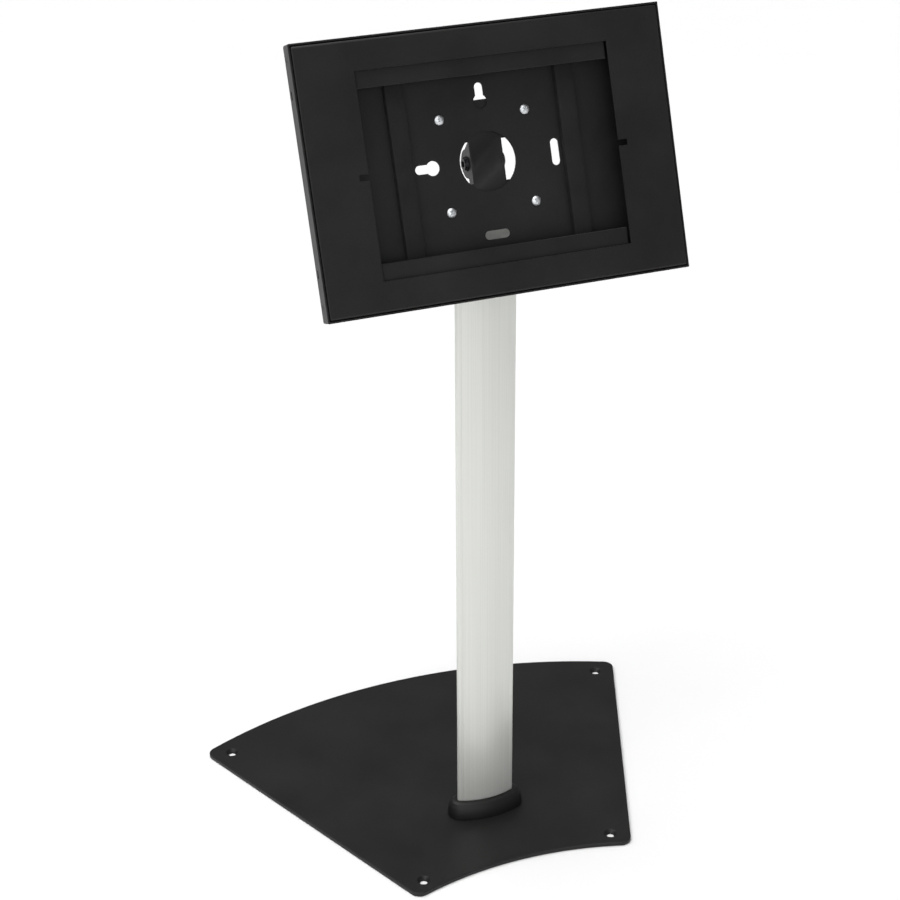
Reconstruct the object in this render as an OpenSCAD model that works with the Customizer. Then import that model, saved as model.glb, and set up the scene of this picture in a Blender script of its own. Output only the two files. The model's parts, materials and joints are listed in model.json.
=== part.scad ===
// Tablet kiosk: a tilting tablet frame on a lens-section post with a fan-shaped floor plate.
// Origin on the floor under the post axis, +X to the right, +Y to the back, +Z up, millimetres.

/* [Floor plate] */
// Width of the floor plate at the post axis
plate_mid_w = 297; // [240:1:360]
// Angle between a side edge and the fore-and-aft line
plate_flare = 22; // [16:0.5:28]
// Distance from the post axis to the middle of the back edge
plate_back = 241; // [190:1:290]
// Radius of the convex back edge
plate_back_r = 510; // [420:5:800]
// Distance from the post axis to the middle of the front edge
plate_front = 84; // [64:1:104]
// Radius of the concave front edge
plate_front_r = 318; // [260:2:500]
// Thickness of the floor plate
plate_t = 4; // [3:0.5:8]
// Radius of the plate's corners
plate_corner_r = 10; // [5:1:20]
// Distance from an anchor hole to the side edge
anchor_side = 19; // [14:1:28]
// Distance from a rear anchor hole to the back edge
anchor_back = 19; // [14:1:28]
// Distance from a front anchor hole to the front edge
anchor_front = 15; // [12:1:24]
// Radius of an anchor hole
anchor_r = 3.5; // [2.5:0.25:4.5]
// Radius of an anchor hole's countersink at the top face
anchor_sink_r = 6.25; // [5.5:0.25:8]

/* [Post] */
// Height of the post's top end above the floor
post_top = 612; // [450:1:900]
// Width of the post
post_w = 56; // [50:1:80]
// Depth of the post at its middle
post_d = 16; // [15:1:24]
// Radius of the post's narrow edges
post_edge_r = 3; // [2.5:0.5:5]
// Wall of the post
post_wall = 2; // [1.5:0.25:2.25]
// Distance of each screw port from the post axis
port_x = 16; // [15.5:0.5:18]
// Outer radius of a screw port
port_r = 4.8; // [4.6:0.1:5]
// Radius of a screw port's bore
port_bore_r = 2.5; // [2:0.1:3]

/* [Foot collar] */
// Height of the foot collar
collar_h = 16.5; // [12:0.5:30]
// How far the collar's foot stands out from the post
collar_out = 9.5; // [7:0.5:14]
// How far the collar's top edge stands out from the post
collar_top_out = 3.5; // [2.5:0.5:5]
// Wall of the collar
collar_wall = 2.5; // [1.5:0.5:3]

/* [Cable route] */
// Height of the lower cable grommet above the floor
low_grommet_z = 48; // [40:1:200]
// Distance of the upper cable grommet below the post's top end
high_grommet_drop = 32; // [20:1:200]
// Radius of the cable passage in a grommet
grommet_bore_r = 4.5; // [3:0.5:5]
// Radius of the hole in the post for a grommet
grommet_hole_r = 7.5; // [6.5:0.25:8]

/* [Tilt joint] */
// Distance of the tilt axis behind the post axis
pivot_y = 6.4; // [0:0.2:9]
// Height of the tilt axis above the post's top end
pivot_rise = 40.5; // [38:0.5:60]
// Tilt of the frame back from vertical in the rest pose
rest_tilt = 21; // [14:1:60]
// Radius of the tongue's rounded end
tongue_r = 7; // [6:0.5:7.5]
// Thickness of the tongue's foot on the post end
tongue_foot_t = 5; // [4:0.5:8]
// Radius of the tilt bolt
bolt_r = 4; // [3:0.25:4]
// Thickness of a friction washer
friction_t = 1.3; // [0.8:0.1:2]

/* [Frame case] */
// Outer width of the case
head_w = 320; // [300:1:400]
// Outer height of the case
head_h = 220; // [216:1:280]
// Depth of the case's straight side walls behind the front face
side_d = 14.5; // [14:0.5:24]
// Depth and width of the sloping fold round the back
back_fold = 6; // [3:0.5:8]
// Sheet thickness of the case and the front panel
sheet_t = 1.5; // [1:0.25:2]
// How far the case wall's front edge lies behind the front face
lip_set = 0.8; // [0:0.1:2]
// Gap between the front panel and the case wall
panel_gap = 0.7; // [0.3:0.1:1.5]
// Width of the screen window
window_w = 218.5; // [190:0.5:240]
// Height of the screen window
window_h = 166.5; // [150:0.5:172]
// Depth of the camera notches beside the window
notch_d = 8; // [4:0.5:12]
// Height of the camera notches
notch_h = 5; // [3:0.5:8]
// Depth of the front panel's folded rim
rim_d = 12.5; // [11:0.5:13]

/* [Back plate openings] */
// Radius of the cable hole in the middle of the back plate
cable_hole_r = 24.5; // [16:0.5:28]
// Distance of the four hanging slots from the middle
slot_dist = 60; // [56:0.5:64]
// Width of a hanging slot
slot_w = 7.2; // [4:0.2:9]
// Length of a plain hanging slot
slot_len = 22; // [16:0.5:30]
// Distance of a keyhole's round end from the middle
keyhole_dist = 48.3; // [44:0.1:50]
// Radius of a keyhole's round end
keyhole_r = 6; // [5:0.25:8]

/* [Tablet supports] */
// Length of the top and bottom rails
rail_l = 216; // [180:1:218]
// Distance of a rail's inner edge from the middle
rail_inner = 69.3; // [60:0.1:72]
// Distance of a rail's outer wall from the middle
rail_outer = 95; // [90:0.5:100]
// Sheet thickness of a rail
rail_t = 1.2; // [0.8:0.1:1.5]
// Depth of a rail's front face behind the front panel's face
rail_set = 3; // [2.5:0.25:5]
// Width of a rail's foot on the back plate
rail_foot = 15; // [12:0.5:17]
// Width of a back pad
pad_w = 16.3; // [8:0.1:20]
// Thickness of a back pad
pad_t = 6; // [3:0.5:8]
// Length of a back pad
pad_l = 156; // [100:1:158]
// Distance of a back pad's inner edge from the middle
pad_inner = 66; // [64.5:0.5:80]
// Thickness of the foam strips behind the front panel
foam_t = 3; // [1.5:0.5:5]

/* [Bracket] */
// Hole spacing of the square mounting pattern
vesa = 75; // [75:1:76]
// Overall width of the bracket
bracket_w = 90; // [86:1:100]
// Overall height of the bracket
bracket_h = 100; // [92:1:106]
// Thickness of the bracket
bracket_t = 2.5; // [2:0.25:3]
// Width of the bracket's middle web over the ears
web_w = 29; // [26:0.5:34]
// Height of the bracket's side openings
side_gap_h = 34; // [30:1:38]
// Radius of the ears round the tilt axis
ear_r = 12; // [10:0.5:14]
// Distance of the tilt axis behind the bracket
pivot_back = 8.5; // [8.2:0.1:14]

/* [Hidden] */
$fn = 64;

fit = 0.3;           // gap round a piece that slips over or into another
running = 0.05;      // radial clearance of a bolt in its hole
over = 1;            // how far a cutter runs past the faces it cuts
arc_steps = 360;     // steps of the plate's long arcs

black = "#262626";
steel = "#c9cbcc";
rubber = "#1a1a1a";

// Plate: both side edges meet at the fan point
fan_y = -plate_mid_w / 2 / tan(plate_flare);
back_cy = plate_back - plate_back_r;
front_cy = -plate_front - plate_front_r;

// Post: the two faces are arcs tangent to the round edges
edge_x = post_w / 2 - post_edge_r;
face_r = (pow(edge_x, 2) + pow(post_d / 2, 2) - pow(post_edge_r, 2)) / (post_d - 2 * post_edge_r);
face_cy = post_d / 2 - face_r;
post_bottom = plate_t;

// Screws
m5_r = port_bore_r;
m5_head_r = 2 * m5_r;
m5_head_h = m5_head_r - m5_r;
m5_hole_r = m5_r + running;
base_screw_l = 18;
tongue_screw_l = 16;
m4_r = 2;
m4_head_r = 4;
m4_head_h = 2.4;
m4_hole_r = 2.2;
m4_nut_r = 4.05;
m4_nut_h = 3.2;
m3_r = 1.5;
m3_head_r = 2.8;
m3_head_h = 1.8;
m3_sink_h = 1.3;
recess = 1.2;        // depth of a driver recess

// Frame, in its own frame: x right, y back from the front face, z up the face
back_d = side_d + back_fold;
plate_front_d = back_d - sheet_t;
bracket_back_d = back_d + bracket_t;
pivot_d = bracket_back_d + pivot_back;
pivot_z = post_top + pivot_rise;
panel_w = head_w - 2 * (sheet_t + panel_gap);
panel_h = head_h - 2 * (sheet_t + panel_gap);
ear_t = bracket_t;
tongue_w = web_w - 2 * (ear_t + friction_t + fit);
washer_r = 2 * bolt_r;
bolt_head_r = 1.6 * bolt_r;
bolt_head_h = 3;      // low head, so the cable windows beside the ears stay open
nut_r = 1.87 * bolt_r;
nut_h = 3.2;
bolt_end = 0.5;      // how far the bolt stands out of its nut
panel_screw_z = 97;
side_slot_z = 70.4;
side_hole_d = 9;
side_slot_w = 2.2;
side_slot_l = 7;
rail_screw_x = 84;
rail_screw_z = rail_outer - rail_foot / 2;
rail_screw_l = 5;
foam_w = 10;
foam_l = 120;
foam_set = 4;        // from the window's side to the foam strip

// ---- shared shapes ----

// Point on a line that runs parallel to a side edge, inset from it, where it meets a circle
// of radius r round [0, cy]
function on_side(inset, cy, r) =
    let (inward = [-cos(plate_flare), sin(plate_flare)],
         along = [sin(plate_flare), cos(plate_flare)],
         start = inset * inward + [0, fan_y - cy],
         run = -start * along + sqrt(pow(start * along, 2) - start * start + r * r))
    start + run * along + [0, cy];

// Half the width of the post's two faces, where they run into the round edges
function lens_half(inset) = edge_x + (post_edge_r - inset) * edge_x / (face_r - post_edge_r);

// Post outline, made smaller all round by inset or larger by a negative one
module lens(inset = 0) {
    intersection() {
        translate([0, face_cy]) circle(face_r - inset);
        translate([0, -face_cy]) circle(face_r - inset);
        square([2 * lens_half(inset), post_d + 60], center = true);
    }
    for (side = [-1, 1]) translate([side * edge_x, 0]) circle(post_edge_r - inset);
}

// Places a piece of the frame, drawn round its front face's centre, on the tilt axis
module on_frame() {
    translate([0, pivot_y, pivot_z]) rotate([-rest_tilt, 0, 0]) translate([0, -pivot_d, 0]) children();
}

// Extrudes an outline given as [across, up] towards the back, from depth d
module backward(d, t) translate([0, d + t, 0]) rotate([90, 0, 0]) linear_extrude(t) children();

// Extrudes an outline given as [depth, up] along X, from x
module sideways(x, t) translate([x, 0, 0]) rotate([90, 0, 90]) linear_extrude(t) children();

// Cylinder that points to the back, from depth d
module rod_back(d, h, r1, r2) translate([0, d, 0]) rotate([-90, 0, 0]) cylinder(h = h, r1 = r1, r2 = r2);

// Four copies on a rectangle, given as half its width and half its height
module corners(x, z) {
    for (sx = [-1, 1], sz = [-1, 1]) translate([sx * x, 0, sz * z]) children();
}

module slot_2d(length, width) {
    square([length - width, width], center = true);
    for (side = [-1, 1]) translate([side * (length - width) / 2, 0]) circle(width / 2);
}

// Countersunk screw along +Z with its flat head's face at z = 0
module sunk_screw(length, r, head_r) {
    difference() {
        union() {
            cylinder(h = head_r - r, r1 = head_r, r2 = r);
            cylinder(h = length, r = r);
        }
        translate([0, 0, -over]) cylinder(h = recess + over, r = r * 0.6, $fn = 6);
    }
}

// ---- stand ----

// What a rounded corner takes off a sharp one: centre is the corner's own centre, and the two
// unit vectors point from it to the edges that meet there
module corner_offcut(centre, to_side, to_arc) {
    reach = plate_corner_r + over;
    difference() {
        polygon([centre, centre + reach * to_side,
                 centre + reach * (to_side + to_arc) / (1 + to_side * to_arc), centre + reach * to_arc]);
        translate(centre) circle(plate_corner_r);
    }
}

module plate_outline() {
    reach = plate_back - fan_y + 20;
    to_side = [cos(plate_flare), -sin(plate_flare)];
    back_corner = on_side(plate_corner_r, back_cy, plate_back_r - plate_corner_r);
    front_corner = on_side(plate_corner_r, front_cy, plate_front_r + plate_corner_r);
    to_back = (back_corner - [0, back_cy]) / norm(back_corner - [0, back_cy]);
    to_front = ([0, front_cy] - front_corner) / norm([0, front_cy] - front_corner);
    difference() {
        intersection() {
            polygon([[0, fan_y], [reach * tan(plate_flare), fan_y + reach],
                     [-reach * tan(plate_flare), fan_y + reach]]);
            translate([0, back_cy]) circle(plate_back_r, $fn = arc_steps);
        }
        translate([0, front_cy]) circle(plate_front_r, $fn = arc_steps);
        for (side = [-1, 1]) scale([side, 1]) {
            corner_offcut(back_corner, to_side, to_back);
            corner_offcut(front_corner, to_side, to_front);
        }
    }
}

module base_plate() {
    front_hole = on_side(anchor_side, front_cy, plate_front_r + anchor_front);
    back_hole = on_side(anchor_side, back_cy, plate_back_r - anchor_back);
    sink_h = anchor_sink_r - anchor_r;
    color(black) difference() {
        linear_extrude(plate_t) plate_outline();
        for (hole = [front_hole, back_hole], side = [-1, 1]) translate([side * hole.x, hole.y, 0]) {
            translate([0, 0, -over]) cylinder(h = plate_t + 2 * over, r = anchor_r);
            translate([0, 0, plate_t - sink_h]) cylinder(h = sink_h, r1 = anchor_r, r2 = anchor_sink_r);
        }
        for (side = [-1, 1]) translate([side * port_x, 0, 0]) {
            translate([0, 0, -over]) cylinder(h = plate_t + 2 * over, r = m5_hole_r);
            cylinder(h = m5_head_h + running, r1 = m5_head_r + running, r2 = m5_r);
        }
    }
}

module base_screws() {
    color(steel) for (side = [-1, 1]) translate([side * port_x, 0, running])
        sunk_screw(base_screw_l, m5_r - running, m5_head_r - running);
}

module post() {
    color("#d2d3cf") difference() {
        translate([0, 0, post_bottom]) linear_extrude(post_top - post_bottom) difference() {
            lens();
            difference() {
                lens(post_wall);
                for (side = [-1, 1]) translate([side * port_x, 0]) circle(port_r);
            }
            for (side = [-1, 1]) translate([side * port_x, 0]) circle(port_bore_r);
        }
        for (z = [low_grommet_z, post_top - high_grommet_drop]) translate([0, 0, z])
            rod_back(0, post_d, grommet_hole_r, grommet_hole_r);
    }
}

// Block with the post's outline whose sides stand out by out1 at the bottom and out2 at the top
module lens_taper(h, out1, out2) {
    half1 = lens_half(-out1);
    half2 = lens_half(-out2);
    intersection() {
        translate([0, face_cy, 0]) cylinder(h = h, r1 = face_r + out1, r2 = face_r + out2);
        translate([0, -face_cy, 0]) cylinder(h = h, r1 = face_r + out1, r2 = face_r + out2);
        rotate([90, 0, 0]) linear_extrude(post_d + 60, center = true)
            polygon([[-half1, 0], [half1, 0], [half2, h], [-half2, h]]);
    }
    for (side = [-1, 1]) translate([side * edge_x, 0, 0])
        cylinder(h = h, r1 = post_edge_r + out1, r2 = post_edge_r + out2);
}

// The collar's outside rounds over from foot to top as a quarter of an ellipse. Its height and
// its standing out, at an angle up that quarter
function collar_up(angle) = collar_h * sin(angle);
function collar_side(angle) = collar_top_out + (collar_out - collar_top_out) * cos(angle);

module foot_collar() {
    step = 22.5;
    hollow = 2 * step;
    slope = (collar_out - collar_side(hollow)) / collar_up(hollow);
    color(rubber) translate([0, 0, plate_t]) difference() {
        for (angle = [0 : step : 90 - step]) translate([0, 0, collar_up(angle)])
            lens_taper(collar_up(angle + step) - collar_up(angle), collar_side(angle),
                       collar_side(angle + step));
        translate([0, 0, -over]) linear_extrude(collar_h + 2 * over) lens(-fit);
        translate([0, 0, -over]) lens_taper(collar_up(hollow) + over,
            collar_out - collar_wall + slope * over, collar_side(hollow) - collar_wall);
    }
}

module cable_grommet(z) {
    flange_r = grommet_hole_r + 2.5;
    flange_t = 1.5;
    neck_l = post_wall + 1;
    back_y = post_d / 2;
    color(rubber) translate([0, 0, z]) difference() {
        union() {
            rod_back(back_y, flange_t, flange_r, flange_r - flange_t / 2);
            rod_back(back_y - neck_l, neck_l, grommet_hole_r - fit, grommet_hole_r - fit);
        }
        rod_back(0, post_d, grommet_bore_r, grommet_bore_r);
    }
}

module lower_cable_grommet() cable_grommet(low_grommet_z);

module upper_cable_grommet() cable_grommet(post_top - high_grommet_drop);

module tilt_tongue() {
    root = post_d / 2 - 1.5;
    foot_z = post_top + tongue_foot_t;
    color(black) difference() {
        union() {
            translate([0, 0, post_top]) linear_extrude(tongue_foot_t) lens();
            sideways(-tongue_w / 2, tongue_w) {
                polygon([[-root, foot_z - over], [root, foot_z - over],
                         [pivot_y + tongue_r, pivot_z], [pivot_y - tongue_r, pivot_z]]);
                translate([pivot_y, pivot_z]) circle(tongue_r);
            }
        }
        translate([-tongue_w, pivot_y, pivot_z]) rotate([0, 90, 0])
            cylinder(h = 2 * tongue_w, r = bolt_r + running);
        for (side = [-1, 1]) translate([side * port_x, 0, post_top]) {
            translate([0, 0, -over]) cylinder(h = tongue_foot_t + 2 * over, r = m5_hole_r);
            translate([0, 0, tongue_foot_t - m5_head_h - running])
                cylinder(h = m5_head_h + running, r1 = m5_r, r2 = m5_head_r + running);
        }
    }
}

module tongue_screws() {
    color(steel) for (side = [-1, 1])
        translate([side * port_x, 0, post_top + tongue_foot_t - running]) rotate([180, 0, 0])
            sunk_screw(tongue_screw_l, m5_r - running, m5_head_r - running);
}

// ---- tilt joint, carried by the frame ----

module vesa_bracket() {
    color(black) on_frame() difference() {
        union() {
            backward(back_d, bracket_t) {
                for (side = [-1, 1]) translate([0, side * (bracket_h + side_gap_h) / 4])
                    square([bracket_w, (bracket_h - side_gap_h) / 2], center = true);
                square([web_w, bracket_h], center = true);
            }
            for (x = [-web_w / 2, web_w / 2 - ear_t]) sideways(x, ear_t) {
                polygon([[back_d, -side_gap_h / 2], [back_d, side_gap_h / 2],
                         [bracket_back_d, side_gap_h / 2], [pivot_d, ear_r],
                         [pivot_d, -ear_r], [bracket_back_d, -side_gap_h / 2]]);
                translate([pivot_d, 0]) circle(ear_r);
            }
        }
        corners(vesa / 2, vesa / 2) rod_back(back_d - over, bracket_t + 2 * over, m4_hole_r, m4_hole_r);
        translate([-web_w, pivot_d, 0]) rotate([0, 90, 0]) cylinder(h = 2 * web_w, r = bolt_r + running);
    }
}

// Ring round the tilt axis, from x, in the frame's own frame
module axis_ring(x, t, r) {
    translate([x, pivot_d, 0]) rotate([0, 90, 0]) difference() {
        cylinder(h = t, r = r);
        translate([0, 0, -over]) cylinder(h = t + 2 * over, r = bolt_r + running);
    }
}

module friction_washers() {
    inside = web_w / 2 - ear_t;
    color(rubber) on_frame() {
        axis_ring(-inside, friction_t, washer_r);
        axis_ring(inside - friction_t, friction_t, washer_r);
    }
}

module tilt_bolt() {
    head_x = -web_w / 2;
    tip_x = web_w / 2 + nut_h + bolt_end;
    color(steel) on_frame() translate([head_x, pivot_d, 0]) rotate([0, 90, 0]) difference() {
        union() {
            cylinder(h = tip_x - head_x, r = bolt_r);
            translate([0, 0, -bolt_head_h])
                cylinder(h = bolt_head_h, r1 = bolt_head_r * 0.8, r2 = bolt_head_r);
        }
        translate([0, 0, -bolt_head_h - over])
            cylinder(h = bolt_head_h / 2 + over, r = bolt_r * 0.7, $fn = 6);
    }
}

module tilt_nut() {
    color(steel) on_frame() translate([web_w / 2, pivot_d, 0]) rotate([0, 90, 0]) difference() {
        union() {
            cylinder(h = nut_h * 0.75, r = nut_r, $fn = 6);
            cylinder(h = nut_h, r = nut_r * 0.82);
        }
        translate([0, 0, -over]) cylinder(h = nut_h + 2 * over, r = bolt_r + running);
    }
}

// ---- frame ----

// Half section of the case, as [across, depth]: straight side, sloping fold and back
function case_section(half, inset, front) =
    let (mitre = inset * (sqrt(2) - 1))
    [[-half + inset, front], [half - inset, front], [half - inset, side_d - mitre],
     [half - back_fold - mitre, back_d - inset], [-half + back_fold + mitre, back_d - inset],
     [-half + inset, side_d - mitre]];

function swapped(points) = [for (p = points) [p.y, p.x]];

module case_block(inset, front) {
    intersection() {
        linear_extrude(head_h, center = true) polygon(case_section(head_w / 2, inset, front));
        sideways(-head_w / 2, head_w) polygon(swapped(case_section(head_h / 2, inset, front)));
    }
}

module keyhole_2d() {
    translate([(slot_dist + keyhole_dist) / 2, 0]) square([slot_dist - keyhole_dist, slot_w], center = true);
    translate([slot_dist, 0]) circle(slot_w / 2);
    translate([keyhole_dist, 0]) circle(keyhole_r);
}

module back_openings() {
    circle(cable_hole_r);
    for (turn = [90, 180]) rotate(turn) keyhole_2d();
    translate([slot_dist, 0]) rotate(90) slot_2d(slot_len, slot_w);
    translate([0, -slot_dist]) slot_2d(slot_len, slot_w);
}

module rear_case() {
    color(black) on_frame() difference() {
        case_block(0, lip_set);
        case_block(sheet_t, lip_set - over);
        backward(back_d - sheet_t - over, sheet_t + 2 * over) back_openings();
        corners(vesa / 2, vesa / 2) rod_back(plate_front_d - over, sheet_t + 2 * over, m4_hole_r, m4_hole_r);
        corners(rail_screw_x, rail_screw_z)
            rod_back(plate_front_d - over, sheet_t + 2 * over, m3_r + running, m3_r + running);
        for (side = [-1, 1]) scale([side, 1, 1]) for (z = [-1, 1]) {
            translate([head_w / 2, side_hole_d, z * panel_screw_z]) rotate([0, -90, 0]) {
                translate([0, 0, -over]) cylinder(h = sheet_t + 2 * over, r = m3_r + running);
                cylinder(h = m3_sink_h, r1 = m3_head_r + 2 * running, r2 = m3_r + running);
            }
            translate([head_w / 2 - sheet_t - over / 2, side_hole_d, z * side_slot_z]) rotate([90, 0, 90])
                linear_extrude(sheet_t + over) rotate(90) slot_2d(side_slot_l, side_slot_w);
        }
    }
}

module front_panel() {
    color(black) on_frame() difference() {
        translate([-panel_w / 2, 0, -panel_h / 2]) cube([panel_w, rim_d, panel_h]);
        translate([-panel_w / 2 + sheet_t, sheet_t, -panel_h / 2 + sheet_t])
            cube([panel_w - 2 * sheet_t, rim_d, panel_h - 2 * sheet_t]);
        translate([0, sheet_t / 2, 0]) cube([window_w, sheet_t + 2 * over, window_h], center = true);
        translate([0, sheet_t / 2, 0])
            cube([window_w + 2 * notch_d, sheet_t + 2 * over, notch_h], center = true);
        for (z = [-1, 1]) translate([-panel_w, side_hole_d, z * panel_screw_z]) rotate([0, 90, 0])
            cylinder(h = 2 * panel_w, r = m3_r + running);
    }
}

module panel_screws() {
    screw_l = sheet_t + panel_gap + sheet_t + 2;
    color(steel) on_frame() for (side = [-1, 1], z = [-1, 1])
        translate([side * (head_w / 2 - running), side_hole_d, z * panel_screw_z]) rotate([0, -side * 90, 0])
            sunk_screw(screw_l, m3_r, m3_head_r);
}

module vesa_screws() {
    dome_r = m4_head_r * 1.35;
    shank_l = sheet_t + bracket_t + m4_nut_h + 1;
    slot = 1;
    color(steel) on_frame() corners(vesa / 2, vesa / 2) difference() {
        union() {
            intersection() {
                rod_back(plate_front_d - m4_head_h, m4_head_h, m4_head_r, m4_head_r);
                translate([0, plate_front_d - m4_head_h + dome_r, 0]) sphere(dome_r);
            }
            rod_back(plate_front_d - m4_head_h / 2, shank_l + m4_head_h / 2, m4_r, m4_r);
        }
        for (turn = [0, 90]) translate([0, plate_front_d - m4_head_h, 0]) rotate([0, turn + 45, 0])
            cube([m4_head_r, 2 * recess, slot], center = true);
    }
}

module vesa_nuts() {
    color(steel) on_frame() corners(vesa / 2, vesa / 2) difference() {
        translate([0, bracket_back_d, 0]) rotate([-90, 0, 0]) cylinder(h = m4_nut_h, r = m4_nut_r, $fn = 6);
        rod_back(bracket_back_d - over, m4_nut_h + 2 * over, m4_r + running, m4_r + running);
    }
}

module rail(side) {
    back = plate_front_d;
    color(black) on_frame() scale([1, 1, side]) difference() {
        sideways(-rail_l / 2, rail_l) polygon([
            [rail_set, rail_inner], [rail_set, rail_outer], [back, rail_outer],
            [back, rail_outer - rail_foot], [back - rail_t, rail_outer - rail_foot],
            [back - rail_t, rail_outer - rail_t], [rail_set + rail_t, rail_outer - rail_t],
            [rail_set + rail_t, rail_inner]
        ]);
        for (x = [-1, 1]) translate([x * rail_screw_x, 0, rail_screw_z])
            rod_back(back - 2 * rail_t, 3 * rail_t, m3_r + running, m3_r + running);
    }
}

module upper_rail() rail(1);

module lower_rail() rail(-1);

module rail_screws() {
    color(steel) on_frame() corners(rail_screw_x, rail_screw_z) difference() {
        union() {
            rod_back(back_d - rail_screw_l, rail_screw_l, m3_r, m3_r);
            rod_back(back_d, m3_head_h, m3_head_r, m3_head_r * 0.8);
        }
        translate([0, back_d + m3_head_h - recess, 0]) rotate([-90, 0, 0])
            cylinder(h = recess + over, r = m3_r * 0.7, $fn = 6);
    }
}

module back_pad(side) {
    color(rubber) on_frame() translate([side * (pad_inner + pad_w / 2), plate_front_d - pad_t / 2, 0])
        cube([pad_w, pad_t, pad_l], center = true);
}

module left_back_pad() back_pad(-1);

module right_back_pad() back_pad(1);

module foam_strip(side) {
    color(rubber) on_frame()
        translate([side * (window_w / 2 + notch_d + foam_set + foam_w / 2), sheet_t + foam_t / 2, 0])
            cube([foam_w, foam_t, foam_l], center = true);
}

module left_foam_strip() foam_strip(-1);

module right_foam_strip() foam_strip(1);

base_plate();
base_screws();
post();
foot_collar();
lower_cable_grommet();
upper_cable_grommet();
tilt_tongue();
tongue_screws();
vesa_bracket();
friction_washers();
tilt_bolt();
tilt_nut();
rear_case();
vesa_screws();
vesa_nuts();
front_panel();
panel_screws();
upper_rail();
lower_rail();
rail_screws();
left_back_pad();
right_back_pad();
left_foam_strip();
right_foam_strip();
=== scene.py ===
"""Tablet kiosk: finishes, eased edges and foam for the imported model, and the studio round it.

Metres throughout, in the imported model's frame: the origin is on the floor under the post, +X is
right, +Y back and +Z up. Everything on the tablet frame is placed in the frame's own directions,
which are across, back from its front face, and up the face.
"""

import json
from math import cos, radians, sin

import bmesh
import bpy
from mathutils import Matrix, Quaternion, Vector


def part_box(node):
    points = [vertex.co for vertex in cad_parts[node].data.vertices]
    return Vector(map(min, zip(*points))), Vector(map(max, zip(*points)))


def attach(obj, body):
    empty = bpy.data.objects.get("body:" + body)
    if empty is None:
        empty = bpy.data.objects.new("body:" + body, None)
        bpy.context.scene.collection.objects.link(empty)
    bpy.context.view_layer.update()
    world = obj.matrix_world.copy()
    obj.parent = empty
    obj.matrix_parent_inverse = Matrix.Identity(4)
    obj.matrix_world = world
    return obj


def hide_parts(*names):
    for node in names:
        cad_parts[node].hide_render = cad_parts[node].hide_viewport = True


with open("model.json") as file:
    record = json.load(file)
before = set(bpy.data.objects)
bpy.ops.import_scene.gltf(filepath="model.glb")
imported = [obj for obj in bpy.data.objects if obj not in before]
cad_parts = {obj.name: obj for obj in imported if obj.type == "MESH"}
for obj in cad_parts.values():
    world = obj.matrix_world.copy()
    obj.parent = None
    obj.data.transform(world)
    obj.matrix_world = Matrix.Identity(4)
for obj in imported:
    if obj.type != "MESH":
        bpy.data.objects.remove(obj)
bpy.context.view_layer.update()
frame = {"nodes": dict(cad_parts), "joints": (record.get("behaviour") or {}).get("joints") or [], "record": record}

MM = 0.001
TILT = radians(21)  # how far the tablet frame leans back at rest
AXIS_DEPTH = 31.5 * MM  # from the frame's front face back to the tilt axis
FRAME_HALF = Vector((160 * MM, 110 * MM))  # half the case's width and height
CASE_DEPTH = 20.5 * MM
SHARP = radians(28)  # edges turning more than this are real edges, the rest are curved faces

tilt_axis = Vector(frame["joints"][0]["pos_m"])
to_world = (
    Matrix.Translation(tilt_axis)
    @ Matrix.Rotation(-TILT, 4, "X")
    @ Matrix.Translation((0, -AXIS_DEPTH, 0))
)
to_frame = to_world.inverted()


# ---- finishes ----


def linear(code):
    """Linear RGBA of an sRGB hex colour."""
    parts = [int(code[i : i + 2], 16) / 255 for i in (1, 3, 5)]
    return [p / 12.92 if p <= 0.04045 else ((p + 0.055) / 1.055) ** 2.4 for p in parts] + [1]


def add(finish, kind, inputs=None, **settings):
    """Adds a node to a finish or a room: settings are its own, inputs are values or sockets."""
    made = finish.node_tree.nodes.new("ShaderNode" + kind)
    for name, value in settings.items():
        setattr(made, name, value)
    for name, value in (inputs or {}).items():
        if isinstance(value, bpy.types.NodeSocket):
            finish.node_tree.links.new(value, made.inputs[name])
        else:
            made.inputs[name].default_value = value
    return made


def blank(name):
    """An empty finish with Object coordinates and its output: (finish, coordinates, output)."""
    finish = bpy.data.materials.new(name)
    finish.use_nodes = True
    finish.node_tree.nodes.clear()
    place = add(finish, "TexCoord").outputs["Object"]
    return finish, place, add(finish, "OutputMaterial")


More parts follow.
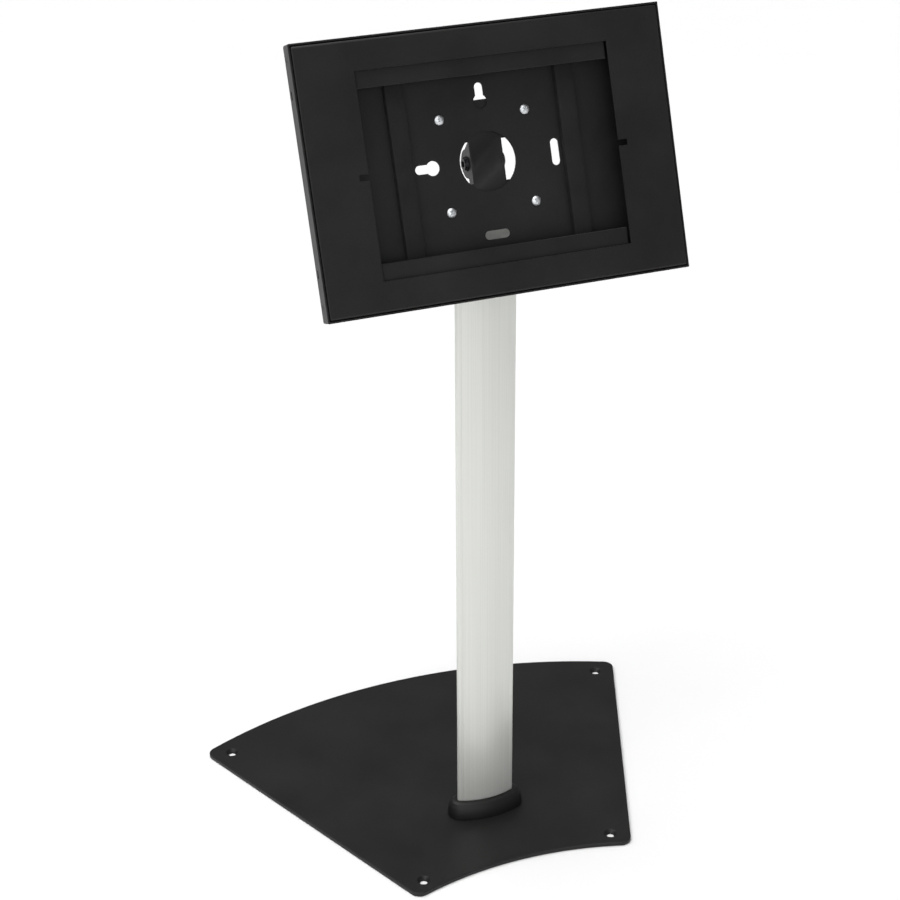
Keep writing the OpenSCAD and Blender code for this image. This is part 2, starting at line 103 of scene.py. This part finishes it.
def powder_coat():
    """Black polyester powder coat baked on sheet steel: nearly black and semi-matt, with a low
    orange peel and a fine grit that breaks up reflections, and slow drifts in sheen where the
    powder lies thicker."""
    finish, place, output = blank("black_powder_coat_fine_texture")
    # the real grit is about 0.3 mm; it is drawn at 0.9 mm so that it shows
    grit = add(finish, "TexNoise", {"Vector": place, "Scale": 1100, "Detail": 3, "Roughness": 0.6})
    peel = add(finish, "TexNoise", {"Vector": place, "Scale": 260, "Detail": 1})
    drift = add(finish, "TexNoise", {"Vector": place, "Scale": 14, "Detail": 3, "Roughness": 0.55})
    colour = add(finish, "ValToRGB", {"Fac": drift.outputs["Fac"]})
    colour.color_ramp.elements[0].color = linear("#171717")
    colour.color_ramp.elements[0].position = 0.3
    colour.color_ramp.elements[1].color = linear("#1e1e1e")
    colour.color_ramp.elements[1].position = 0.72
    speckle = add(
        finish, "MapRange",
        {
            "Value": grit.outputs["Fac"],
            "From Min": 0.35, "From Max": 0.7, "To Min": 0.86, "To Max": 1.18,
        },
    )
    tone = add(
        finish, "VectorMath",
        {0: colour.outputs["Color"], "Scale": speckle.outputs["Result"]},
        operation="SCALE",
    )
    sheen = add(
        finish, "MapRange",
        {
            "Value": drift.outputs["Fac"],
            "From Min": 0.3, "From Max": 0.7, "To Min": 0.38, "To Max": 0.46,
        },
    )
    peel_bump = add(
        finish, "Bump", {"Height": peel.outputs["Fac"], "Strength": 0.12, "Distance": 0.3 * MM},
    )
    bump = add(
        finish, "Bump",
        {
            "Height": grit.outputs["Fac"], "Strength": 0.35, "Distance": 0.1 * MM,
            "Normal": peel_bump.outputs["Normal"],
        },
    )
    shader = add(
        finish, "BsdfPrincipled",
        {
            "Base Color": tone.outputs["Vector"],
            "Roughness": sheen.outputs["Result"],
            "Normal": bump.outputs["Normal"],
            "IOR": 1.5,
            "Specular IOR Level": 0.28,
        },
    )
    finish.node_tree.links.new(shader.outputs["BSDF"], output.inputs["Surface"])
    return finish


def anodised():
    """Extruded aluminium, etched matt and clear anodised: a pale metal under a milky film, so its
    reflections are soft and wide, with hair-thin die lines running up and down."""
    finish, place, output = blank("satin_anodised_aluminium_extrusion")
    # die lines are under 0.1 mm wide; they are drawn 0.5 mm wide so that they show
    stretched = add(finish, "Mapping", {"Vector": place, "Scale": (2000, 2000, 3)})
    lines = add(
        finish, "TexNoise",
        {"Vector": stretched.outputs["Vector"], "Scale": 1, "Detail": 2, "Roughness": 0.5},
    )
    cloud = add(finish, "TexNoise", {"Vector": place, "Scale": 18, "Detail": 3})
    colour = add(finish, "ValToRGB", {"Fac": lines.outputs["Fac"]})
    colour.color_ramp.elements[0].color = linear("#d3d4cf")
    colour.color_ramp.elements[0].position = 0.3
    colour.color_ramp.elements[1].color = linear("#dbdcd7")
    colour.color_ramp.elements[1].position = 0.7
    rough = add(
        finish, "MapRange",
        {
            "Value": cloud.outputs["Fac"],
            "From Min": 0.3, "From Max": 0.7, "To Min": 0.34, "To Max": 0.4,
        },
    )
    # the die leaves a fine step 4 mm in from each edge of the post
    sides = add(finish, "SeparateXYZ", {"Vector": place})
    off_middle = add(finish, "Math", {0: sides.outputs["X"]}, operation="ABSOLUTE")
    step = add(
        finish, "MapRange",
        {
            "Value": off_middle.outputs["Value"],
            "From Min": 23.4 * MM, "From Max": 24 * MM, "To Min": 0, "To Max": 1,
        },
        interpolation_type="SMOOTHSTEP",
    )
    edge_step = add(
        finish, "Bump", {"Height": step.outputs["Result"], "Strength": 1.0, "Distance": 0.3 * MM},
    )
    bump = add(
        finish, "Bump",
        {
            "Height": lines.outputs["Fac"], "Strength": 0.1, "Distance": 0.03 * MM,
            "Normal": edge_step.outputs["Normal"],
        },
    )
    shader = add(
        finish, "BsdfPrincipled",
        {
            "Base Color": colour.outputs["Color"],
            "Metallic": 0.38,
            "Roughness": rough.outputs["Result"],
            "Normal": bump.outputs["Normal"],
        },
    )
    finish.node_tree.links.new(shader.outputs["BSDF"], output.inputs["Surface"])
    return finish


def plated(name, dark, light, low, high):
    """Plated steel fastener: a bright metal broken by the faint turning marks and the uneven
    bath colour of small barrel-plated screws."""
    finish, place, output = blank(name)
    bath = add(finish, "TexNoise", {"Vector": place, "Scale": 420, "Detail": 2})
    marks = add(
        finish, "TexNoise", {"Vector": place, "Scale": 2600, "Detail": 3, "Roughness": 0.65},
    )
    colour = add(finish, "ValToRGB", {"Fac": bath.outputs["Fac"]})
    colour.color_ramp.elements[0].color = linear(dark)
    colour.color_ramp.elements[0].position = 0.3
    colour.color_ramp.elements[1].color = linear(light)
    colour.color_ramp.elements[1].position = 0.7
    rough = add(
        finish, "MapRange",
        {
            "Value": marks.outputs["Fac"],
            "From Min": 0.3, "From Max": 0.7, "To Min": low, "To Max": high,
        },
    )
    bump = add(
        finish, "Bump", {"Height": marks.outputs["Fac"], "Strength": 0.15, "Distance": 0.03 * MM},
    )
    shader = add(
        finish, "BsdfPrincipled",
        {
            "Base Color": colour.outputs["Color"],
            "Metallic": 1.0,
            "Roughness": rough.outputs["Result"],
            "Normal": bump.outputs["Normal"],
        },
    )
    finish.node_tree.links.new(shader.outputs["BSDF"], output.inputs["Surface"])
    return finish


def moulded(name, dark, light, low, high, grain, depth, ior):
    """Black moulded polymer: one even colour with the mould's spark-eroded grain in its surface
    and a slow change in gloss where the melt cooled unevenly."""
    finish, place, output = blank(name)
    texture = add(
        finish, "TexNoise", {"Vector": place, "Scale": 1 / grain, "Detail": 3, "Roughness": 0.6},
    )
    flow = add(finish, "TexNoise", {"Vector": place, "Scale": 45, "Detail": 2})
    colour = add(finish, "ValToRGB", {"Fac": flow.outputs["Fac"]})
    colour.color_ramp.elements[0].color = linear(dark)
    colour.color_ramp.elements[0].position = 0.3
    colour.color_ramp.elements[1].color = linear(light)
    colour.color_ramp.elements[1].position = 0.7
    rough = add(
        finish, "MapRange",
        {
            "Value": flow.outputs["Fac"],
            "From Min": 0.3, "From Max": 0.7, "To Min": low, "To Max": high,
        },
    )
    bump = add(
        finish, "Bump", {"Height": texture.outputs["Fac"], "Strength": 0.3, "Distance": depth},
    )
    shader = add(
        finish, "BsdfPrincipled",
        {
            "Base Color": colour.outputs["Color"],
            "Roughness": rough.outputs["Result"],
            "Normal": bump.outputs["Normal"],
            "IOR": ior,
        },
    )
    finish.node_tree.links.new(shader.outputs["BSDF"], output.inputs["Surface"])
    return finish


def cell_foam():
    """Black closed-cell polyethylene foam, die-cut from sheet: dull and soft, with small closed
    pores over its faces and a slightly paler skin between them."""
    finish, place, output = blank("closed_cell_foam")
    # pores are about 0.4 mm; they are drawn 1.1 mm apart so that they show
    pores = add(
        finish, "TexVoronoi", {"Vector": place, "Scale": 900, "Randomness": 1.0}, feature="F1",
    )
    tone = add(finish, "TexNoise", {"Vector": place, "Scale": 60, "Detail": 3})
    colour = add(finish, "ValToRGB", {"Fac": tone.outputs["Fac"]})
    colour.color_ramp.elements[0].color = linear("#0f0f0f")
    colour.color_ramp.elements[0].position = 0.3
    colour.color_ramp.elements[1].color = linear("#151515")
    colour.color_ramp.elements[1].position = 0.75
    bump = add(
        finish, "Bump",
        {"Height": pores.outputs["Distance"], "Strength": 0.4, "Distance": 0.2 * MM},
    )
    shader = add(
        finish, "BsdfPrincipled",
        {
            "Base Color": colour.outputs["Color"],
            "Roughness": 0.85,
            "Specular IOR Level": 0.35,
            "Normal": bump.outputs["Normal"],
        },
    )
    finish.node_tree.links.new(shader.outputs["BSDF"], output.inputs["Surface"])
    return finish


COAT = powder_coat()
ALUMINIUM = anodised()
ZINC = plated("bright_zinc_plated_steel", "#c6c9cc", "#e2e4e6", 0.38, 0.52)
OXIDE = plated("black_oxide_steel", "#1c1c1e", "#2b2b2d", 0.34, 0.5)
ABS = moulded("moulded_black_abs", "#090909", "#0f0f0f", 0.5, 0.58, 0.8 * MM, 0.06 * MM, 1.43)
RUBBER = moulded(
    "moulded_black_rubber", "#151515", "#1d1d1d", 0.62, 0.74, 0.6 * MM, 0.08 * MM, 1.52,
)
NYLON = moulded("turned_black_nylon", "#181818", "#202020", 0.4, 0.5, 0.7 * MM, 0.03 * MM, 1.53)
FOAM = cell_foam()


# ---- hard pieces: each node's own shape with its edges eased ----


def turn_of(edge):
    """How far a surface turns over an edge."""
    return edge.calc_face_angle() if len(edge.link_faces) == 2 else 0


def eased(node, body, finish, widest, width=None):
    """A copy of a node with its edges rounded, in the node's place. width gives an edge's own
    rounding from its middle and length, and is the widest for all of them if left out.
    Flat faces stay flat, and only curved faces and the roundings are shaded smooth."""
    shape = bmesh.new()
    shape.from_mesh(frame["nodes"][node].data)
    bmesh.ops.remove_doubles(shape, verts=shape.verts, dist=0.001 * MM)
    bmesh.ops.dissolve_limit(
        shape, angle_limit=radians(0.2), use_dissolve_boundaries=False,
        verts=shape.verts, edges=shape.edges,
    )
    weight = shape.edges.layers.float.new("bevel_weight_edge")
    for edge in shape.edges:
        middle = (edge.verts[0].co + edge.verts[1].co) / 2
        here = width(middle, edge.calc_length()) if width else widest
        edge[weight] = here / widest * (turn_of(edge) > SHARP)
    for face in shape.faces:
        face.smooth = any(radians(0.3) < turn_of(edge) <= SHARP for edge in face.edges)
        face.material_index = 0
    mesh = bpy.data.meshes.new(node + "_rough")
    shape.to_mesh(mesh)
    shape.free()
    rough = bpy.data.objects.new(node + "_rough", mesh)
    bpy.context.scene.collection.objects.link(rough)
    for _ in range(2):  # the second slot marks the roundings until they are shaded
        mesh.materials.append(finish)
    rounding = rough.modifiers.new("rounding", "BEVEL")
    rounding.limit_method = "WEIGHT"
    rounding.width = widest
    rounding.segments = 3
    rounding.material = 1
    rounding.use_clamp_overlap = False
    finished = rough.evaluated_get(bpy.context.evaluated_depsgraph_get())
    rounded = bpy.data.meshes.new_from_object(finished)
    bpy.data.objects.remove(rough)
    rounded.name = node + "_eased"
    smooth = [face.use_smooth or face.material_index == 1 for face in rounded.polygons]
    rounded.set_sharp_from_angle(angle=radians(40))
    rounded.polygons.foreach_set("use_smooth", smooth)
    rounded.polygons.foreach_set("material_index", [0] * len(smooth))
    rounded.materials.pop()
    piece = bpy.data.objects.new(node + "_eased", rounded)
    bpy.context.scene.collection.objects.link(piece)
    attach(piece, body)
    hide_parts(node)
    return piece


SHEARED = 0.12 * MM  # rounding of a sheared or drilled edge
CUT = 0.1 * MM  # rounding of a laser-cut edge

anchors = [
    Vector((side * hole["dims"]["spacing_x_mm"] / 2 * MM, hole["pos_m"][1], 0))
    for hole in frame["record"]["mounts"]
    if hole["kind"] == "bolt_pattern"
    for side in (-1, 1)
]


def plate_width(middle, length):
    """The sheared outline is eased, and the drilled holes keep crisp rims."""
    flat = Vector((middle.x, middle.y, 0))
    under_post = abs(flat.x) < 30 * MM and abs(flat.y) < 10 * MM
    drilled = under_post or any((flat - hole).length < 8 * MM for hole in anchors)
    return SHEARED if drilled else 0.6 * MM


def collar_width(middle, length):
    """The top lip is soft, and the foot is crisp."""
    return 0.5 * MM if middle.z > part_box("foot_collar")[1].z - 1 * MM else SHEARED


def panel_width(middle, length):
    """The rim is folded back from the face, so the face's outer edges are bends."""
    across, back, up = to_frame @ middle
    outside = abs(across) > FRAME_HALF.x - 2.5 * MM or abs(up) > FRAME_HALF.y - 2.5 * MM
    if outside and (length > 150 * MM or length > 10 * MM and abs(across) > 150 * MM):
        return SHEARED if back > 11 * MM else 1.5 * MM
    window_back = back > 0.3 * MM and length >= 100 * MM
    return CUT if window_back else SHEARED


def case_width(middle, length):
    """Long outer edges and the mitred corners are bends, and the rest is cut."""
    across, back, up = to_frame @ middle
    outer = (
        abs(abs(across) - FRAME_HALF.x) < 0.1 * MM
        or abs(abs(up) - FRAME_HALF.y) < 0.1 * MM
        or abs(back - CASE_DEPTH) < 0.1 * MM
    )
    corner = abs(across) > 150 * MM and abs(up) > 100 * MM
    slanting = corner and 14 * MM < back
    if back < 1.5 * MM and length > 100 * MM:
        return 0.25 * MM
    bent = outer and (length > 150 * MM or corner and length > 5 * MM)
    if bent or (slanting and length > 8 * MM):
        return 1.4 * MM
    return CUT


def rail_width(middle, length):
    """The rail's folds run its whole length, and its ends are cut."""
    return 0.5 * MM if length > 150 * MM else CUT


eased("base_plate", "stand", COAT, 0.6 * MM, plate_width)
eased("base_screws", "stand", ZINC, 0.12 * MM)
eased("post", "stand", ALUMINIUM, 0.15 * MM)
eased("foot_collar", "stand", ABS, 0.5 * MM, collar_width)
for name in ("lower_cable_grommet", "upper_cable_grommet"):
    eased(name, "stand", RUBBER, 0.35 * MM)
eased("tilt_tongue", "stand", COAT, 0.4 * MM)
eased("tongue_screws", "stand", ZINC, 0.12 * MM)

eased("vesa_bracket", "frame", COAT, 0.25 * MM)
eased("friction_washers", "frame", NYLON, 0.15 * MM)
eased("tilt_bolt", "frame", OXIDE, 0.25 * MM)
eased("tilt_nut", "frame", OXIDE, 0.25 * MM)
eased("rear_case", "frame", COAT, 1.4 * MM, case_width)
eased("vesa_screws", "frame", ZINC, 0.12 * MM)
eased("vesa_nuts", "frame", ZINC, 0.2 * MM)
eased("front_panel", "frame", COAT, 1.5 * MM, panel_width)
eased("panel_screws", "frame", OXIDE, 0.08 * MM)
for name in ("upper_rail", "lower_rail"):
    eased(name, "frame", COAT, 0.5 * MM, rail_width)
eased("rail_screws", "frame", ZINC, 0.12 * MM)


# ---- foam ----


def foam_block(node, crown):
    """Die-cut foam strip in a node's place: its glued face is flat, its free face bellies a
    little between its edges, and the knife has drawn its sides in."""
    corners = [to_frame @ v.co for v in frame["nodes"][node].data.vertices]
    lo = Vector([min(c[i] for c in corners) for i in range(3)])
    hi = Vector([max(c[i] for c in corners) for i in range(3)])
    size, centre = hi - lo, (hi + lo) / 2
    glued = hi.y if centre.y > 10 * MM else lo.y
    shape = bmesh.new()
    bmesh.ops.create_cube(shape, size=1)
    bmesh.ops.scale(shape, vec=size, verts=shape.verts)
    long_edges = [e for e in shape.edges if e.calc_length() > size.z * 0.9]
    bmesh.ops.subdivide_edges(shape, edges=long_edges, cuts=23, use_grid_fill=True)
    bmesh.ops.subdivide_edges(
        shape, edges=[e for e in shape.edges if abs(e.calc_length() - size.x) < 0.1 * MM],
        cuts=5, use_grid_fill=True,
    )
    bmesh.ops.translate(shape, vec=centre, verts=shape.verts)
    for vert in shape.verts:
        off_glue = abs(vert.co.y - glued) / size.y
        u = (vert.co.x - centre.x) / (size.x / 2)
        w = (vert.co.z - centre.z) / (size.z / 2)
        dip = crown * off_glue * (1 - (1 - u**4) * (1 - w**16))
        vert.co.y += dip * (1 if glued > centre.y else -1)
        vert.co.x -= 0.25 * MM * off_glue * (1 if u > 0.99 else -1 if u < -0.99 else 0)
        vert.co.z -= 0.25 * MM * off_glue * (1 if w > 0.999 else -1 if w < -0.999 else 0)
    rim = [e for e in shape.edges if len(e.link_faces) == 2 and e.calc_face_angle() > radians(50)]
    bmesh.ops.bevel(
        shape, geom=rim, offset=0.45 * MM, offset_type="OFFSET", affect="EDGES",
        segments=3, profile=0.5, material=-1,
    )
    bmesh.ops.transform(shape, matrix=to_world, verts=shape.verts)
    bmesh.ops.recalc_face_normals(shape, faces=shape.faces)
    for face in shape.faces:
        face.smooth = True
    mesh = bpy.data.meshes.new(node + "_foam")
    shape.to_mesh(mesh)
    shape.free()
    mesh.set_sharp_from_angle(angle=radians(50))
    mesh.materials.append(FOAM)
    piece = bpy.data.objects.new(node + "_foam", mesh)
    bpy.context.scene.collection.objects.link(piece)
    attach(piece, "frame")
    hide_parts(node)


for name in ("left_back_pad", "right_back_pad"):
    foam_block(name, 0.5 * MM)
for name in ("left_foam_strip", "right_foam_strip"):
    foam_block(name, 0.3 * MM)


# ---- studio ----

KIOSK_MIDDLE = Vector((0, 0, 0.35))
ROOM_LIGHT = 0.24  # the room's level as a light, against 1 as the camera sees it


def studio_floor():
    """A plain pale floor that fills the view."""
    finish, place, output = blank("pale_matt_floor")
    fleck = add(finish, "TexNoise", {"Vector": place, "Scale": 3, "Detail": 2})
    tone = add(finish, "ValToRGB", {"Fac": fleck.outputs["Fac"]})
    tone.color_ramp.elements[0].color = linear("#f4f4f4")
    tone.color_ramp.elements[1].color = linear("#f7f7f7")
    shader = add(finish, "BsdfPrincipled", {"Base Color": tone.outputs["Color"], "Roughness": 0.9})
    finish.node_tree.links.new(shader.outputs["BSDF"], output.inputs["Surface"])
    shape = bmesh.new()
    bmesh.ops.create_circle(shape, cap_ends=True, segments=96, radius=24)
    bmesh.ops.translate(shape, vec=(0, 0, -0.2 * MM), verts=shape.verts)
    mesh = bpy.data.meshes.new("studio_floor")
    shape.to_mesh(mesh)
    shape.free()
    mesh.materials.append(finish)
    floor = bpy.data.objects.new("studio_floor", mesh)
    bpy.context.scene.collection.objects.link(floor)


def lamp(name, kind, energy, place, **settings):
    """A lamp that shines from a point towards the middle of the kiosk."""
    light = bpy.data.lights.new(name, kind)
    light.energy = energy
    for key, value in settings.items():
        setattr(light, key, value)
    holder = bpy.data.objects.new(name, light)
    holder.location = place
    holder.rotation_mode = "QUATERNION"
    holder.rotation_quaternion = (KIOSK_MIDDLE - holder.location).to_track_quat("-Z", "Y")
    holder.visible_camera = False
    bpy.context.scene.collection.objects.link(holder)


def studio_room():
    """A pale room, dimmed for everything but the camera so that black finishes stay black."""
    room = bpy.data.worlds.new("studio_room")
    room.use_nodes = True
    room.node_tree.nodes.clear()
    rays = add(room, "LightPath")
    level = add(
        room, "MapRange",
        {"Value": rays.outputs["Is Camera Ray"], "To Min": ROOM_LIGHT, "To Max": 1.0},
    )
    walls = add(
        room, "Background", {"Color": linear("#f6f6f6"), "Strength": level.outputs["Result"]},
    )
    output = add(room, "OutputWorld")
    room.node_tree.links.new(walls.outputs["Background"], output.inputs["Surface"])
    bpy.context.scene.world = room


studio_floor()
studio_room()
bpy.context.scene.view_settings.view_transform = "Standard"
lamp("overhead_softbox", "SUN", 2.6, (-0.8, 0.3, 4.0), angle=radians(60))
lamp(
    "left_key", "AREA", 14, (-2.2, -1.2, 2.0), shape="RECTANGLE", size=1.2, size_y=1.6,
)
lamp("front_fill", "SUN", 1.15, (-1.2, -3.2, 0.85), angle=radians(50))

azimuth, elevation, roll = radians(-21.23), radians(28.32), radians(-0.44)
aim = Vector((-0.03454, 0, 0.34402))
distance = 1.88964
to_camera = Vector((sin(azimuth) * cos(elevation), -cos(azimuth) * cos(elevation), sin(elevation)))
lens = bpy.data.cameras.new("camera")
lens.sensor_width = 36
lens.lens = 85.55
lens.shift_x = 0.0011
lens.shift_y = 0.0586
camera = bpy.data.objects.new("camera", lens)
camera.location = aim + to_camera * distance
camera.rotation_mode = "QUATERNION"
camera.rotation_quaternion = (-to_camera).to_track_quat("-Z", "Y") @ Quaternion((0, 0, 1), roll)
bpy.context.scene.collection.objects.link(camera)
bpy.context.scene.camera = camera
